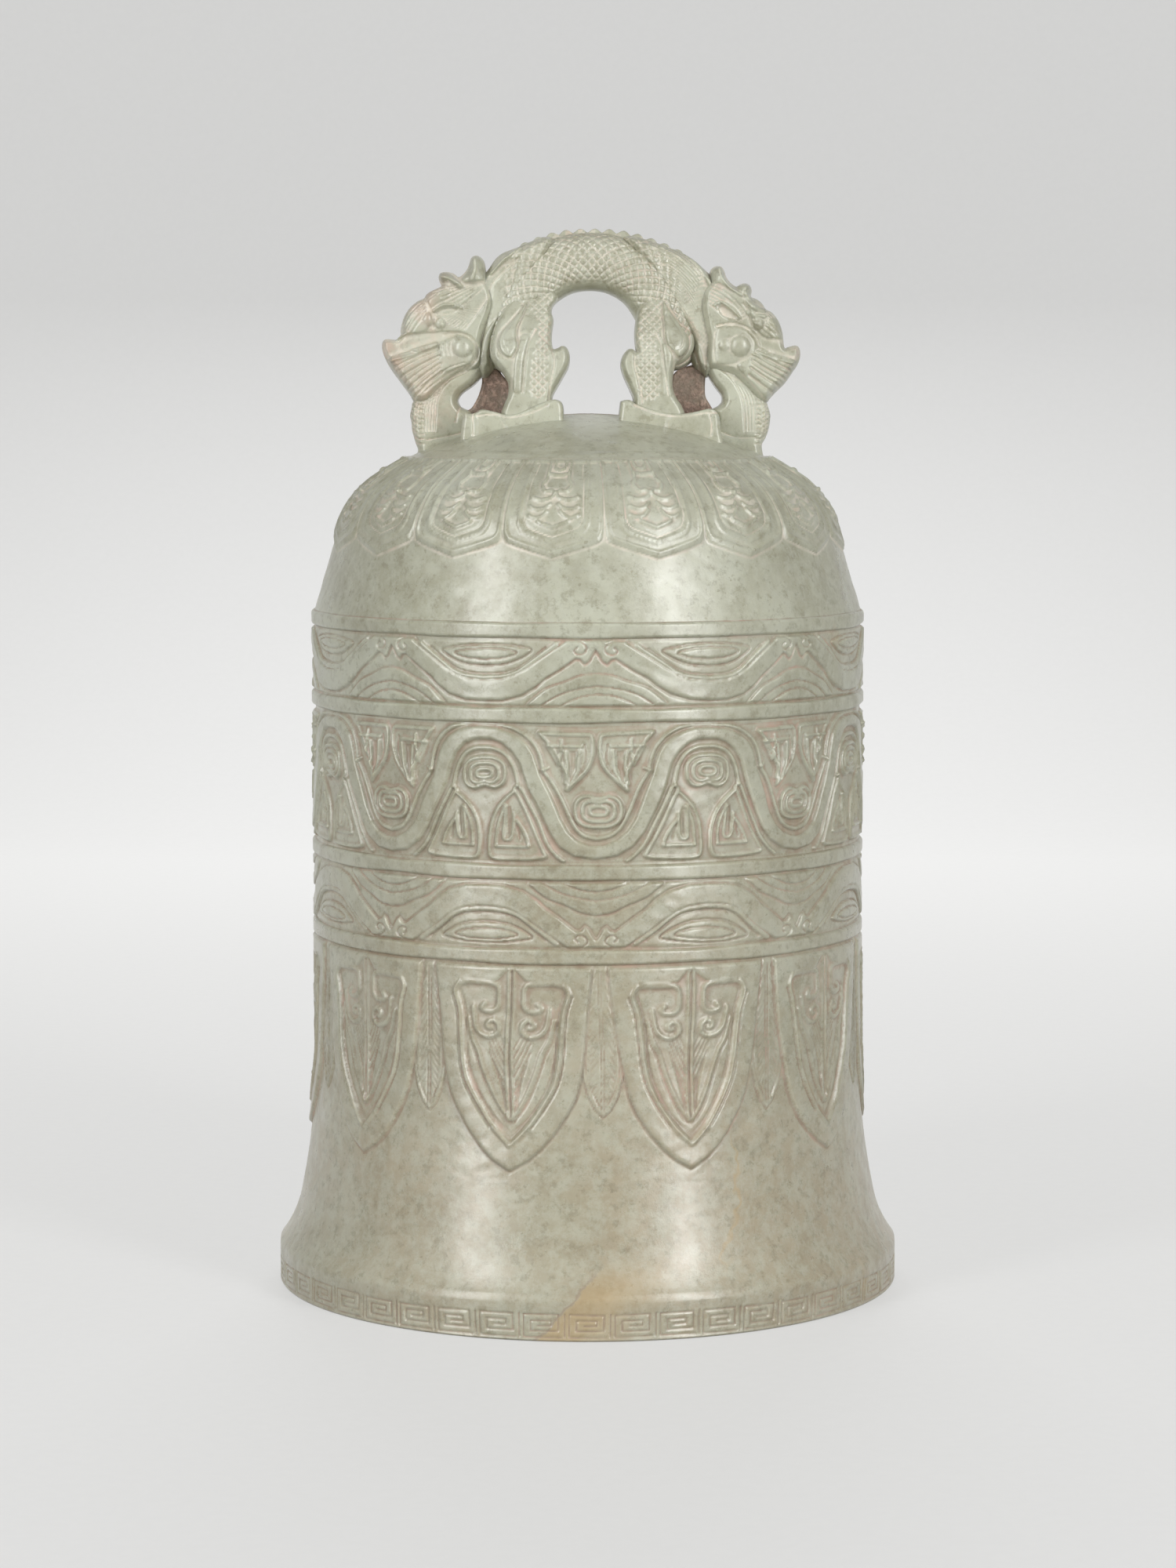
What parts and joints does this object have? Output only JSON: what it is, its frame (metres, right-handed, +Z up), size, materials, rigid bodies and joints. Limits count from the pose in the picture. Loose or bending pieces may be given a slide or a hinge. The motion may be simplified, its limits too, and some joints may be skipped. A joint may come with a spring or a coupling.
{
  "type": "jade bell",
  "caption": "Tall carved nephrite bell with a flared mouth, bands of archaistic relief and a two-headed dragon arched over the crown as its hanging loop.",
  "frame": {"origin": "centre of the mouth, on the plane that the rim stands on", "axes": "+Z up the bell's axis to the handle, -Y the front seen in the picture, the two dragon heads along +X and -X"},
  "size_m": [0.152, 0.152, 0.2569],
  "materials": {
    "nephrite": "satin polish"
  },
  "bodies": {
    "root": {"back_crest": "nephrite", "bell_wall": "nephrite", "dragon_trunk": "nephrite", "feather_leaves": "nephrite", "front_left_foot": "nephrite", "front_left_leg": "nephrite", "front_right_foot": "nephrite", "front_right_leg": "nephrite", "hanging_blades": "nephrite", "left_beard": "nephrite", "left_chest": "nephrite", "left_head": "nephrite", "left_horns": "nephrite", "left_mane": "nephrite", "lower_crescents": "nephrite", "lower_eyes": "nephrite", "lower_fillet": "nephrite", "lower_hills": "nephrite", "neck_fillet": "nephrite", "rear_left_foot": "nephrite", "rear_left_leg": "nephrite", "rear_right_foot": "nephrite", "rear_right_leg": "nephrite", "right_beard": "nephrite", "right_chest": "nephrite", "right_head": "nephrite", "right_horns": "nephrite", "right_mane": "nephrite", "shoulder_lappets": "nephrite", "skirt_fillet": "nephrite", "upper_crescents": "nephrite", "upper_eyes": "nephrite", "upper_fillet": "nephrite", "upper_hills": "nephrite", "wave_bosses": "nephrite", "wave_fangs": "nephrite", "wave_ribbon": "nephrite"}
  },
  "joints": []
}
